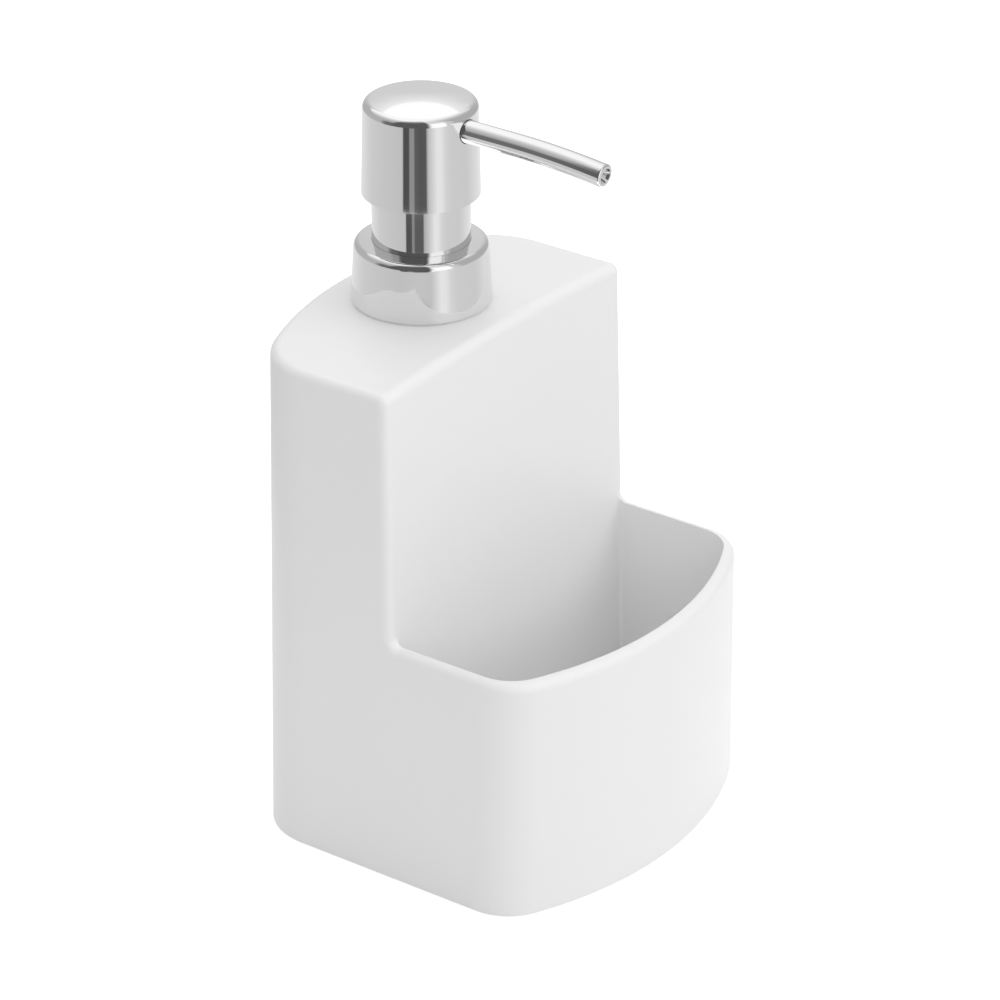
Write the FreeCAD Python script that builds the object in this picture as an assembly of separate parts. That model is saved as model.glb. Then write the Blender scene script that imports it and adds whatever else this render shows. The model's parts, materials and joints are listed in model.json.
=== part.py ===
import FreeCAD, Part
import math
import os

# Soap pump caddy for a sink or vanity: a white moulded body whose tall back half is a soap tank and
# whose low front half is an open pocket for a sponge, with a chrome lotion pump screwed on the tank.
# Millimetres, +Z up. The origin is the centre of the footprint, on the surface it stands on.
# -Y is the front, where the pocket and the spout are. +X is the right-hand side.

# Body, seen from above and from the side
body_width = 100.0
body_depth = 98.7
front_bow = 14.2
back_bow = 11.6
front_corner_radius = 13.5
back_corner_radius = 18.2
rim_height = 63.0
tower_height = 127.5
crown_rise = 1.7
tower_depth = 50.8
pump_setback = 24.2
side_draft_share = 0.0162
front_draft_share = 0.0027
back_draft_share = 0.0084
face_lean_share = 0.0226
wall = 2.6
edge_radius = 2.4
junction_radius = 2.2
tank_corner_radius = 1.0
pocket_corner_radius = 1.0
floor_thickness = 2.2
cut_overrun = 5.0
edge_search_margin = 0.1

# Base plate and feet
plate_thickness = 2.5
plate_recess = 0.6
plate_gap = 0.1
foot_radius = 5.0
foot_stand = 0.6
foot_sink = 1.0
foot_gap = 0.1
foot_inset_x = 13.5
foot_inset_y = 20.0

# Neck of the tank and what seals on it
neck_radius = 13.0
neck_wall = 2.0
neck_height = 10.0
gasket_thickness = 1.0
gasket_gap = 0.2

# Screw cap, sleeve and chrome cover
cap_gap = 0.35
cap_wall = 1.3
cap_web_thickness = 1.2
cap_lift = 1.0
sleeve_radius = 11.9
sleeve_wall = 0.9
sleeve_flange_thickness = 0.6
sleeve_flange_width = 1.0
sleeve_showing = 12.1
cover_wall = 0.9
cover_gap = 0.5
cover_top_radius = 16.25
cover_bottom_radius = 17.1
cover_edge_radius = 1.7
cover_slope_rise = 0.5
cover_hole_gap = 0.05
cover_seat_gap = 0.2

# Pump housing, its guide, its valve and its suction tube
housing_wall = 1.1
housing_neck_gap = 0.6
housing_flange_thickness = 1.1
barrel_depth = 14.0
chamber_bore_radius = 7.1
chamber_length = 34.0
valve_cone_height = 5.0
valve_ledge = 0.7
valve_seat_radius = 1.9
valve_land = 1.0
socket_depth = 9.0
suction_tube_radius = 3.25
suction_tube_wall = 1.0
suction_tube_gap = 0.05
suction_tube_end_gap = 4.0
inlet_ball_radius = 2.4
outlet_ball_radius = 1.9
ball_gap = 0.02
ball_room = 0.25
ball_lift = 1.1
outlet_cone_height = 0.65
cage_thickness = 1.4
cage_hole_radius = 1.5
cage_slot_width = 1.2
cage_slot_count = 4
guide_lip_thickness = 0.6
guide_wall = 1.0
guide_gap = 0.1
guide_turn_gap = 0.3
guide_reach = 1.2

# Stem, piston and return spring
stroke = 11.0
stem_radius = 3.6
stem_bore_radius = 1.5
running_gap = 0.05
piston_height = 7.0
piston_lip = 0.8
piston_waist_depth = 0.9
piston_stop_gap = 0.3
stem_flange_radius = 5.9
stem_flange_thickness = 1.2
spring_wire_radius = 0.45
spring_radius = 5.0
spring_turns = 7
spring_end_pitch = 1.45
spring_seat_gap = 0.02

# Head and spout
head_height = 23.4
head_top_radius = 13.75
head_bottom_radius = 14.3
head_dome_rise = 0.3
head_edge_radius = 1.8
head_wall = 0.9
hub_wall = 1.8
hub_depth = 11.0
core_disc_thickness = 1.5
core_rim_depth = 4.0
core_rim_wall = 1.0
core_gap = 0.05
core_roof = 1.0
spout_radius = 2.85
spout_bore_radius = 1.1
spout_mouth_radius = 1.9
spout_mouth_depth = 2.2
spout_below_top = 5.0
spout_reach = 52.9
spout_bend_start = 26.0
spout_bend_radius = 220.0
spout_droop_deg = 6.4
spout_hole_gap = 0.15
spout_boss_wall = 0.7
spout_boss_reach = 10.4
spout_seat_reach = 6.0
spout_tip_round = 0.5
sleeve_top_gap = 0.9

# Levels that follow from the sizes above
base_edge = foot_stand
plate_bottom = base_edge + plate_recess
plate_top = plate_bottom + plate_thickness
pocket_floor = plate_top + floor_thickness
top_centre = tower_height + crown_rise
neck_rim = top_centre + neck_height
gasket_top = neck_rim + gasket_thickness
flange_top = gasket_top + housing_flange_thickness
guide_lip_top = flange_top + guide_lip_thickness
cap_top = guide_lip_top + cap_web_thickness
sleeve_flange_top = cap_top + sleeve_flange_thickness
cover_top = sleeve_flange_top + cover_seat_gap + cover_wall
cover_bottom = top_centre + cover_gap
head_bottom = cover_top + sleeve_showing
head_top = head_bottom + head_height
spout_height = head_top - spout_below_top
sleeve_top = spout_height - spout_radius - stroke - sleeve_top_gap
shoulder = gasket_top - barrel_depth
chamber_floor = shoulder - chamber_length
valve_seat = chamber_floor - valve_cone_height
tube_stop = valve_seat - valve_land
socket_bottom = tube_stop - socket_depth
cage_top = chamber_floor + cage_thickness
guide_bottom = shoulder - guide_reach
piston_top = guide_bottom - piston_stop_gap
piston_bottom = piston_top - piston_height
stem_flange_bottom = piston_bottom - stem_flange_thickness
stem_top = spout_height - spout_bore_radius - core_roof
pump_y = body_depth / 2 - pump_setback


def point(x, y, z):
    return FreeCAD.Vector(x, y, z)


up = point(0, 0, 1)
rightward = point(1, 0, 0)
frontward = point(0, -1, 0)


def arc_edge(start, middle, end):
    return Part.Arc(start, middle, end).toShape()


def line_edge(start, end):
    return Part.LineSegment(start, end).toShape()


def pick_edges(shape, test):
    """The edges of a shape that pass a test."""
    return [edge for edge in shape.Edges if test(edge)]


# Plan of the body: straight sides, a bowed front and back, and four round corners.
# An inset moves every line and arc inwards by the same distance, with the arcs' centres kept.

def bowed_end(height, inset, side):
    """Corner points of one bowed end; side is -1 for the front and 1 for the back."""
    full_half = body_width / 2 - side_draft_share * height
    bow = front_bow if side < 0 else back_bow
    draft = front_draft_share if side < 0 else back_draft_share
    corner = (front_corner_radius if side < 0 else back_corner_radius) - inset
    sweep = (full_half ** 2 + bow ** 2) / (2 * bow)
    centre = side * (body_depth / 2 - draft * height - sweep)
    sweep = sweep - inset
    half = full_half - inset
    corner_x = half - corner
    corner_y = centre + side * math.sqrt((sweep - corner) ** 2 - corner_x ** 2)
    stretch = sweep / (sweep - corner)
    meet_x = corner_x * stretch
    meet_y = centre + (corner_y - centre) * stretch
    out_x = corner_x / (sweep - corner) + 1
    out_y = (corner_y - centre) / (sweep - corner)
    size = math.hypot(out_x, out_y)
    middle = (corner_x + corner * out_x / size, corner_y + corner * out_y / size)
    return half, corner_y, middle, (meet_x, meet_y), centre + side * sweep


def plan_wire(height, inset):
    """Closed plan of the body at a height, drawn anticlockwise from the right side."""
    half, back_y, back_middle, back_meet, back_most = bowed_end(height, inset, 1)
    half, front_y, front_middle, front_meet, front_most = bowed_end(height, inset, -1)

    def at(x, y):
        return point(x, y, height)

    def across(spot):
        return at(-spot[0], spot[1])

    edges = [
        line_edge(at(half, front_y), at(half, back_y)),
        arc_edge(at(half, back_y), at(*back_middle), at(*back_meet)),
        arc_edge(at(*back_meet), at(0, back_most), across(back_meet)),
        arc_edge(across(back_meet), across(back_middle), at(-half, back_y)),
        line_edge(at(-half, back_y), at(-half, front_y)),
        arc_edge(at(-half, front_y), across(front_middle), across(front_meet)),
        arc_edge(across(front_meet), at(0, front_most), at(*front_meet)),
        arc_edge(at(*front_meet), at(*front_middle), at(half, front_y)),
    ]
    return Part.Wire(edges)


def plan_block(low, high, inset):
    """Tapered block with the body's plan between two heights."""
    return Part.makeLoft([plan_wire(low, inset), plan_wire(high, inset)], True, True)


def face_y(height):
    """Where the tower's front face stands at a height."""
    return body_depth / 2 - tower_depth + face_lean_share * (height - rim_height)


prism_side = -body_width / 2 - cut_overrun


def side_prism(outline):
    """Solid right across the body with an outline given as (y, z) points."""
    wire = Part.makePolygon([point(prism_side, y, z) for y, z in outline + outline[:1]])
    return Part.Face(wire).extrude(rightward * (-2 * prism_side))


def behind_face(low, high, offset):
    """Everything behind the tower's front face, set back by an offset."""
    far = body_depth / 2 + cut_overrun
    return side_prism([(face_y(low) + offset, low), (face_y(high) + offset, high), (far, high), (far, low)])


def before_face(low, high):
    """Everything in front of the tower's front face."""
    far = -body_depth / 2 - cut_overrun
    return side_prism([(face_y(low), low), (face_y(high), high), (far, high), (far, low)])


def above_rim(high):
    """Everything above the rim and in front of the tower, with the inner corner rounded."""
    far = -body_depth / 2 - cut_overrun
    centre_y = face_y(rim_height) - junction_radius
    centre_z = rim_height + junction_radius
    dip = junction_radius / math.sqrt(2)
    low_end = point(prism_side, centre_y, rim_height)
    middle = point(prism_side, centre_y + dip, centre_z - dip)
    high_end = point(prism_side, face_y(centre_z), centre_z)
    top_back = point(prism_side, face_y(high), high)
    top_front = point(prism_side, far, high)
    low_front = point(prism_side, far, rim_height)
    wire = Part.Wire([
        line_edge(low_front, low_end),
        arc_edge(low_end, middle, high_end),
        line_edge(high_end, top_back),
        line_edge(top_back, top_front),
        line_edge(top_front, low_front),
    ])
    return Part.Face(wire).extrude(rightward * (-2 * prism_side))


def under_crown(depth):
    """Round bar, lying along Y, whose top is the tower's gently crowned top, sunk by a depth."""
    half = body_width / 2 - side_draft_share * tower_height
    bend = (half ** 2 + crown_rise ** 2) / (2 * crown_rise)
    start = point(0, -body_depth / 2 - cut_overrun, top_centre - bend)
    bar = Part.makeCylinder(bend - depth, body_depth + 2 * cut_overrun, start, frontward * -1)
    bar.rotate(start, frontward, 180)
    return bar


def near_face(edge, offset):
    """True for an edge that climbs along the tower's front face, set back by an offset."""
    ends = [edge.Vertexes[0].Point, edge.Vertexes[-1].Point]
    climbs = abs(ends[0].z - ends[1].z) > wall
    near = all(abs(end.y - face_y(end.z) - offset) < edge_search_margin for end in ends)
    return climbs and near


def on_junction(edge):
    """True for the short arcs where the rim turns up into the tower's front edges."""
    box = edge.BoundBox
    starts = abs(box.ZMin - rim_height) < edge_search_margin
    return starts and abs(box.ZLength - junction_radius) < edge_search_margin


def on_rim(edge):
    """True for the outer edges of the rim, but not for the line where it meets the tower's face."""
    box = edge.BoundBox
    level = max(abs(box.ZMin - rim_height), abs(box.ZMax - rim_height)) < edge_search_margin
    return level and box.YMin < face_y(rim_height) - 2 * junction_radius


def outer_body():
    """Outside of the body: the tower behind, the low caddy in front, and one rounding along all edges."""
    full_top = top_centre + cut_overrun
    block = plan_block(base_edge, full_top, 0).common(under_crown(0))
    step = block.cut(above_rim(full_top))
    crown = max(step.Faces, key=lambda face: face.CenterOfMass.z)
    edges = pick_edges(step, lambda edge: near_face(edge, 0) or on_junction(edge) or on_rim(edge))
    return step.makeFillet(edge_radius, crown.OuterWire.Edges + edges)


def tank_space():
    """Inside of the tower, open downwards where the base plate closes it."""
    block = plan_block(base_edge - cut_overrun, top_centre + cut_overrun, wall).common(under_crown(wall))
    low = base_edge - cut_overrun
    block = block.common(behind_face(low, top_centre + cut_overrun, wall))
    return block.makeFillet(tank_corner_radius, pick_edges(block, lambda edge: near_face(edge, wall)))


def pocket_space():
    """Inside of the sponge pocket, open upwards, with rounded back corners."""
    low = pocket_floor
    high = rim_height + cut_overrun
    block = plan_block(low, high, wall).common(before_face(low, high))
    return block.makeFillet(pocket_corner_radius, pick_edges(block, lambda edge: near_face(edge, 0)))


def body_shell():
    """White moulding: tank walls, pocket walls and floor, top and neck."""
    shell = outer_body()
    neck = Part.makeCylinder(neck_radius, neck_height + wall, point(0, pump_y, top_centre - wall), up)
    shell = shell.fuse(neck)
    shell = shell.cut(tank_space())
    shell = shell.cut(pocket_space())
    shell = shell.cut(plan_block(base_edge - cut_overrun, plate_top, wall))
    reach = neck_height + wall + cut_overrun
    bore = Part.makeCylinder(neck_radius - neck_wall, 2 * reach, point(0, pump_y, neck_rim - reach), up)
    return shell.cut(bore).removeSplitter()


def foot_centres():
    """Centres of the four feet, named by corner."""
    x = body_width / 2 - foot_inset_x
    y = body_depth / 2 - foot_inset_y
    return {
        "foot_front_left": (-x, -y),
        "foot_front_right": (x, -y),
        "foot_back_left": (-x, y),
        "foot_back_right": (x, y),
    }


def base_plate():
    """Flat plate welded into the underside, with a shallow seat for each foot."""
    plate = plan_block(plate_bottom, plate_top, wall + plate_gap)
    for x, y in foot_centres().values():
        start = point(x, y, plate_bottom - cut_overrun)
        plate = plate.cut(Part.makeCylinder(foot_radius + foot_gap, foot_sink + cut_overrun, start, up))
    return plate


def foot(x, y):
    """Rubber disc that stands a little below the body's edge, with a softened lower edge."""
    pad = Part.makeCylinder(foot_radius, plate_bottom + foot_sink, point(x, y, 0), up)
    bottom = pick_edges(pad, lambda edge: edge.BoundBox.ZMax < foot_stand)
    return pad.makeFillet(foot_stand, bottom)


# Turned pieces: each outline is a closed list of corners (radius, height, rounding) about the pump's axis

def turned(corners):
    """Solid of revolution about the pump's axis, with each corner rounded as its third value says."""
    count = len(corners)
    spots = [point(radius, 0, height) for radius, height, rounding in corners]
    edges = []
    cuts = []
    for index in range(count):
        here = spots[index]
        back = (spots[index - 1] - here).normalize()
        ahead = (spots[(index + 1) % count] - here).normalize()
        rounding = corners[index][2]
        half_angle = back.getAngle(ahead) / 2
        reach = rounding / math.tan(half_angle)
        inward = (back + ahead).normalize() if rounding else ahead
        middle = here + inward * (rounding / math.sin(half_angle) - rounding)
        cuts.append((here + back * reach, middle, here + ahead * reach, rounding))
    for index in range(count):
        start, middle, end, rounding = cuts[index]
        if rounding:
            edges.append(arc_edge(start, middle, end))
        edges.append(line_edge(end, cuts[(index + 1) % count][0]))
    solid = Part.Face(Part.Wire(edges)).revolve(point(0, 0, 0), up, 360)
    solid.translate(point(0, pump_y, 0))
    return solid


def tube_corners(inner, outer, low, high):
    """Corners of a plain ring or tube."""
    return [(inner, low, 0), (outer, low, 0), (outer, high, 0), (inner, high, 0)]


def neck_gasket():
    """Soft washer between the neck's rim and the housing's flange."""
    inner = neck_radius - neck_wall + gasket_gap
    return turned(tube_corners(inner, neck_radius - gasket_gap, neck_rim, gasket_top))


barrel_radius = neck_radius - neck_wall - housing_neck_gap
guide_radius = barrel_radius - housing_wall - guide_gap
socket_radius = suction_tube_radius + suction_tube_gap


def pump_housing():
    """Stepped cylinder that hangs in the neck: flange, barrel, piston chamber, ball seat and tube socket."""
    chamber = chamber_bore_radius + housing_wall
    inner_shoulder = shoulder + housing_wall
    return turned([
        (barrel_radius - housing_wall, flange_top, 0),
        (barrel_radius - housing_wall, inner_shoulder, 0),
        (chamber_bore_radius, inner_shoulder, 0),
        (chamber_bore_radius, chamber_floor, 0),
        (chamber_bore_radius - valve_ledge, chamber_floor, 0),
        (valve_seat_radius, valve_seat, 0),
        (valve_seat_radius, tube_stop, 0),
        (socket_radius, tube_stop, 0),
        (socket_radius, socket_bottom, 0),
        (socket_radius + housing_wall, socket_bottom, 0),
        (socket_radius + housing_wall, tube_stop, 0),
        (chamber, chamber_floor, 0),
        (chamber, shoulder, 0),
        (barrel_radius, shoulder, 0),
        (barrel_radius, gasket_top, 0),
        (neck_radius - gasket_gap, gasket_top, 0),
        (neck_radius - gasket_gap, flange_top, 0),
    ])


def stem_guide():
    """Plug that closes the housing: lip, skirt and a long guide tube round the stem."""
    bore = stem_radius + running_gap
    tube = bore + guide_wall
    skirt_bottom = shoulder + housing_wall
    lip = barrel_radius + housing_wall
    return turned([
        (bore, guide_bottom, 0),
        (tube, guide_bottom, 0),
        (tube, flange_top - guide_wall, 0),
        (guide_radius - guide_wall, flange_top - guide_wall, 0),
        (guide_radius - guide_wall, skirt_bottom, 0),
        (guide_radius, skirt_bottom, 0),
        (guide_radius, flange_top, 0),
        (lip, flange_top, 0),
        (lip, guide_lip_top, 0),
        (tube, guide_lip_top, 0),
        (tube, cap_top, 0),
        (bore, cap_top, 0),
    ])


def ball_cage():
    """Slotted disc on the chamber's ledge: it stops the inlet ball and carries the spring."""
    disc = turned(tube_corners(cage_hole_radius, chamber_bore_radius - guide_gap, chamber_floor, cage_top))
    slot_reach = spring_radius - spring_wire_radius - cage_slot_width
    for index in range(cage_slot_count):
        corner = point(0, pump_y - cage_slot_width / 2, chamber_floor)
        slot = Part.makeBox(slot_reach, cage_slot_width, cage_thickness, corner)
        slot.rotate(point(0, pump_y, 0), up, 360 / cage_slot_count * index)
        disc = disc.cut(slot)
    return disc


def ball_on_cone(radius, seat_radius, slope, seat):
    """Ball resting in a conical seat whose wall leans out by the slope (radius over height)."""
    half_angle = math.atan(slope)
    apex = seat - seat_radius / slope
    centre = apex + radius / math.sin(half_angle) + ball_gap
    return Part.makeSphere(radius, point(0, pump_y, centre))


inlet_slope = (chamber_bore_radius - valve_ledge - valve_seat_radius) / valve_cone_height


def inlet_ball():
    """Lower check ball, on the cone above the suction tube."""
    return ball_on_cone(inlet_ball_radius, valve_seat_radius, inlet_slope, valve_seat)


def dip_tube():
    """Suction tube from the housing's socket to just above the tank's floor."""
    inner = suction_tube_radius - suction_tube_wall
    return turned(tube_corners(inner, suction_tube_radius, plate_top + suction_tube_end_gap, tube_stop))


def closure_cap():
    """White screw cap that clamps the pump on the neck; its thread is left plain here."""
    inner = neck_radius + cap_gap
    low = top_centre + cap_lift
    hole = stem_radius + running_gap + guide_wall + guide_turn_gap
    return turned([
        (hole, guide_lip_top, 0),
        (inner, guide_lip_top, 0),
        (inner, low, 0),
        (inner + cap_wall, low, 0),
        (inner + cap_wall, cap_top, 0),
        (hole, cap_top, 0),
    ])


def guide_sleeve():
    """Chrome chimney over the cap, which the head slides down over."""
    inner = sleeve_radius - sleeve_wall
    edge = sleeve_radius + sleeve_flange_width
    return turned([
        (inner, cap_top, 0),
        (edge, cap_top, 0),
        (edge, sleeve_flange_top, 0),
        (sleeve_radius, sleeve_flange_top, 0),
        (sleeve_radius, sleeve_top, 0),
        (inner, sleeve_top, 0),
    ])


def collar_cover():
    """Chrome collar over the screw cap: flared side, rounded shoulder and a gently sloped top."""
    hole = sleeve_radius + cover_hole_gap
    shoulder_height = cover_top - cover_slope_rise
    inner_round = cover_edge_radius - cover_wall
    return turned([
        (hole, cover_top - cover_wall, 0),
        (cover_top_radius - cover_wall, shoulder_height - cover_wall, inner_round),
        (cover_bottom_radius - cover_wall, cover_bottom, 0),
        (cover_bottom_radius, cover_bottom, 0),
        (cover_top_radius, shoulder_height, cover_edge_radius),
        (hole, cover_top, 0),
    ])


outlet_room = outlet_ball_radius + ball_room
outlet_seat = stem_top - 2 * outlet_ball_radius - ball_lift
outlet_slope = (outlet_room - stem_bore_radius) / outlet_cone_height


def pump_stem():
    """Hollow stem from the head to the piston, with the outlet ball's chamber in its upper end."""
    cone_top = outlet_seat + outlet_cone_height
    return turned([
        (stem_bore_radius, stem_flange_bottom, 0),
        (stem_flange_radius, stem_flange_bottom, 0),
        (stem_flange_radius, piston_bottom, 0),
        (stem_radius, piston_bottom, 0),
        (stem_radius, stem_top, 0),
        (outlet_room, stem_top, 0),
        (outlet_room, cone_top, 0),
        (stem_bore_radius, outlet_seat, 0),
    ])


def outlet_ball():
    """Upper check ball, on its cone in the stem's upper end."""
    return ball_on_cone(outlet_ball_radius, stem_bore_radius, outlet_slope, outlet_seat)


def piston_seal():
    """Soft piston with a lip at each end that wipes the chamber."""
    inner = stem_radius + running_gap
    outer = chamber_bore_radius - running_gap
    waist = outer - piston_waist_depth
    taper = piston_lip + piston_waist_depth
    return turned([
        (inner, piston_bottom, 0),
        (outer, piston_bottom, 0),
        (outer, piston_bottom + piston_lip, 0),
        (waist, piston_bottom + taper, 0),
        (waist, piston_top - taper, 0),
        (outer, piston_top - piston_lip, 0),
        (outer, piston_top, 0),
        (inner, piston_top, 0),
    ])


# Return spring: one unbroken wire whose pitch opens from closed ends to the middle.
# Height over turns u of N: end_pitch * u + b * (u - sin(2 pi u / N) * N / (2 pi)).

spring_low = cage_top + spring_wire_radius + spring_seat_gap
spring_high = stem_flange_bottom - spring_wire_radius - spring_seat_gap
spring_middle_pitch = (spring_high - spring_low) / spring_turns - spring_end_pitch


def spring_point(turn):
    """Centre of the wire after a number of turns."""
    angle = 2 * math.pi * turn
    whole = 2 * math.pi / spring_turns
    opening = spring_middle_pitch * (turn - math.sin(whole * turn) / whole)
    height = spring_low + spring_end_pitch * turn + opening
    return point(spring_radius * math.cos(angle), pump_y + spring_radius * math.sin(angle), height)


def spring_direction(turn):
    """Direction of the wire after a number of turns."""
    angle = 2 * math.pi * turn
    whole = 2 * math.pi / spring_turns
    around = 2 * math.pi * spring_radius
    climb = spring_end_pitch + spring_middle_pitch * (1 - math.cos(whole * turn))
    return point(-around * math.sin(angle), around * math.cos(angle), climb).normalize()


def arc_from(start, direction, end):
    """Circular arc that leaves a point in a direction and ends at another point."""
    chord = end - start
    along = FreeCAD.Vector(chord).normalize()
    aside = direction - along * direction.dot(along)
    lean = direction.getAngle(along)
    middle = (start + end) * 0.5 + aside.normalize() * (chord.Length / 2 * math.tan(lean / 2))
    return arc_edge(start, middle, end)


def biarc(start, start_direction, end, end_direction):
    """Two arcs that join two points with the given directions at both."""
    chord = end - start
    both = start_direction + end_direction
    spread = 2 * (1 - start_direction.dot(end_direction))
    reach = (math.sqrt(chord.dot(both) ** 2 + spread * chord.dot(chord)) - chord.dot(both)) / spread
    joint = (start + end + (start_direction - end_direction) * reach) * 0.5
    first = arc_from(start, start_direction, joint)
    arriving = arc_from(end, end_direction * -1, joint)
    middle = arriving.valueAt((arriving.FirstParameter + arriving.LastParameter) / 2)
    return [first, arc_edge(joint, middle, end)]


def spring_gap(samples_per_turn):
    """Least gap between neighbouring turns of the spring, measured on points of its centre line."""
    least = 2 * spring_radius
    for index in range(samples_per_turn * (spring_turns - 1)):
        here = spring_point(index / samples_per_turn)
        over = spring_point(index / samples_per_turn + 1)
        least = min(least, (over - here).Length - 2 * spring_wire_radius)
    return least


def return_spring():
    """Steel compression spring between the ball cage and the stem's flange."""
    edges = []
    for half_turn in range(2 * spring_turns):
        low = half_turn / 2
        high = low + 1 / 2
        edges += biarc(spring_point(low), spring_direction(low), spring_point(high), spring_direction(high))
    path = Part.Wire(edges)
    section = Part.Wire(Part.makeCircle(spring_wire_radius, spring_point(0), spring_direction(0)))
    sweep = Part.BRepOffsetAPI.MakePipeShell(path)
    sweep.add(section)
    sweep.build()
    sweep.makeSolid()
    print("least gap between the spring's turns, mm:", round(spring_gap(24), 2))
    return sweep.shape()


def head_radius(height):
    """Outer radius of the tapered head at a height."""
    share = (head_top - height) / head_height
    return head_top_radius + (head_bottom_radius - head_top_radius) * share


head_inner_round = head_edge_radius - head_wall


def head_shell():
    """Chrome cap of the head, slightly domed and open below, with a round hole for the spout."""
    inner_top = head_top - head_dome_rise - head_wall
    shell = turned([
        (0, inner_top, 0),
        (head_radius(inner_top) - head_wall, inner_top, head_inner_round),
        (head_bottom_radius - head_wall, head_bottom, 0),
        (head_bottom_radius, head_bottom, 0),
        (head_top_radius, head_top, 0),
        (0, head_top, 0),
    ])
    dome_radius = (head_top_radius ** 2 + head_dome_rise ** 2) / (2 * head_dome_rise)
    dome_centre = point(0, pump_y, head_top - dome_radius)
    shell = shell.common(Part.makeSphere(dome_radius, dome_centre, up))
    rim = pick_edges(shell, lambda edge: edge.BoundBox.ZMin > inner_top)
    shell = shell.makeFillet(head_edge_radius, rim)
    start = point(0, pump_y, spout_height)
    return shell.cut(Part.makeCylinder(spout_radius + spout_hole_gap, head_bottom_radius, start, frontward))


def head_core():
    """White insert in the head: hub on the stem, disc and rim in the shell, boss for the spout."""
    top = head_top - head_dome_rise - head_wall
    hub = stem_radius + running_gap + hub_wall
    rim_low = top - core_rim_depth
    rim = head_radius(top) - head_wall - core_gap
    hub_low = stem_top - hub_depth
    disc_low = top - core_disc_thickness
    core = turned([
        (0, hub_low, 0),
        (hub, hub_low, 0),
        (hub, disc_low, 0),
        (rim - core_rim_wall, disc_low, 0),
        (rim - core_rim_wall, rim_low, 0),
        (rim, rim_low, 0),
        (rim, top, head_inner_round + core_gap),
        (0, top, 0),
    ])
    boss_radius = spout_radius + spout_hole_gap + spout_boss_wall
    centre = point(0, pump_y, spout_height)
    bottom = point(0, pump_y, hub_low)
    seat = point(0, pump_y - spout_seat_reach, spout_height)
    boss = Part.makeCylinder(boss_radius, spout_boss_reach, centre, frontward)
    core = core.fuse(boss).common(Part.makeCylinder(rim, top - hub_low, bottom, up))
    socket = Part.makeCylinder(stem_radius + core_gap / 2, stem_top - hub_low, bottom, up)
    throat = Part.makeCylinder(stem_bore_radius, spout_height - stem_top, point(0, pump_y, stem_top), up)
    channel = Part.makeCylinder(spout_bore_radius, spout_seat_reach, centre, frontward)
    pocket = Part.makeCylinder(spout_radius + core_gap / 2, head_top_radius, seat, frontward)
    return core.cut(socket).cut(throat).cut(channel).cut(pocket).removeSplitter()


def spout_path():
    """Centre line of the spout: a level run, a gentle bend downwards and a straight end."""
    droop = math.radians(spout_droop_deg)
    start = point(0, pump_y - spout_seat_reach, spout_height)
    bend = point(0, pump_y - spout_bend_start, spout_height)

    def along_bend(angle):
        forward = spout_bend_radius * math.sin(angle)
        sunk = spout_bend_radius * (1 - math.cos(angle))
        return bend + point(0, -forward, -sunk)

    bend_end = along_bend(droop)
    run = (bend_end.y - (pump_y - spout_reach)) / math.cos(droop)
    tip = bend_end + point(0, -math.cos(droop), -math.sin(droop)) * run
    level_run = line_edge(start, bend)
    return Part.Wire([level_run, arc_edge(bend, along_bend(droop / 2), bend_end), line_edge(bend_end, tip)])


def swept(radius, path):
    """Round bar of a radius along a path that starts towards the front."""
    start = path.OrderedVertexes[0].Point
    section = Part.Wire(Part.makeCircle(radius, start, frontward))
    return path.makePipeShell([section], True, False)


def spout_tube():
    """Chrome spout with a narrow bore, a softened tip and a mouth that widens to the front."""
    path = spout_path()
    outer = swept(spout_radius, path)
    tip = path.OrderedVertexes[-1].Point
    rim = min(outer.Edges, key=lambda edge: edge.CenterOfMass.distanceToPoint(tip))
    outer = outer.makeFillet(spout_tip_round, [rim])
    droop = math.radians(spout_droop_deg)
    inward = point(0, math.cos(droop), math.sin(droop))
    mouth = Part.makeCone(spout_mouth_radius, spout_bore_radius, spout_mouth_depth, tip, inward)
    return outer.cut(swept(spout_bore_radius, path)).cut(mouth)


def all_parts():
    """Every sub-part by the name of its file."""
    parts = {
        "body_shell": body_shell(),
        "base_plate": base_plate(),
        "neck_gasket": neck_gasket(),
        "pump_housing": pump_housing(),
        "stem_guide": stem_guide(),
        "ball_cage": ball_cage(),
        "inlet_ball": inlet_ball(),
        "dip_tube": dip_tube(),
        "closure_cap": closure_cap(),
        "guide_sleeve": guide_sleeve(),
        "collar_cover": collar_cover(),
        "pump_stem": pump_stem(),
        "outlet_ball": outlet_ball(),
        "piston_seal": piston_seal(),
        "return_spring": return_spring(),
        "head_shell": head_shell(),
        "head_core": head_core(),
        "spout_tube": spout_tube(),
    }
    for name, centre in foot_centres().items():
        parts[name] = foot(*centre)
    return parts


os.makedirs("parts", exist_ok=True)
for name, shape in all_parts().items():
    shape.exportStep("parts/" + name + ".step")
    print(name, "solids:", len(shape.Solids), "valid:", shape.isValid(), "volume:", round(shape.Volume, 1))
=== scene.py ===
"""Looks of the soap pump caddy: finishes, fine pieces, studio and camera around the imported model."""
import json
import logging
import math
from dataclasses import dataclass
from enum import Enum

import bmesh
import bpy
import numpy as np
from mathutils import Matrix, Vector


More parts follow.
